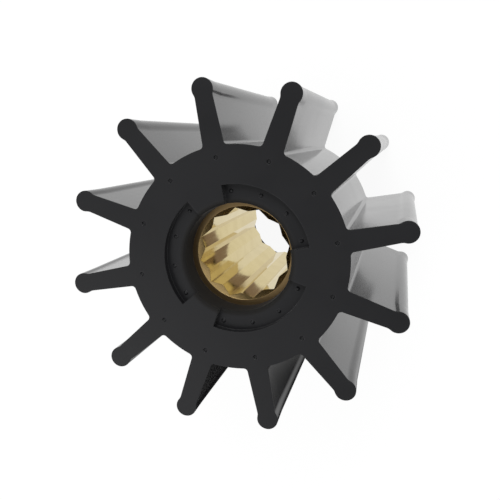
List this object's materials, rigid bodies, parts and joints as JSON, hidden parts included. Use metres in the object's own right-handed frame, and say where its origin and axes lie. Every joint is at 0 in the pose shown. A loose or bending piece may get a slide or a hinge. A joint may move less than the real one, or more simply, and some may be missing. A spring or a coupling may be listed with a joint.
{
  "type": "rubber pump impeller",
  "caption": "Flexible black rubber impeller for a sea water cooling pump, with bulb-tipped vanes round a hub that is moulded on a brass insert with a star-shaped bore.",
  "frame": {"origin": "centre of the rear end face, on the bore axis", "axes": "+Z along the bore axis towards the front face with the arc pockets; +X along the middle of one vane"},
  "size_m": [0.095, 0.095, 0.088],
  "materials": {
    "rubber": "moulded, matt end faces and smoother vane sides",
    "brass": "machined, bright broached bore"
  },
  "bodies": {
    "root": {"rubber_body": "rubber", "brass_insert": "brass"}
  },
  "joints": []
}
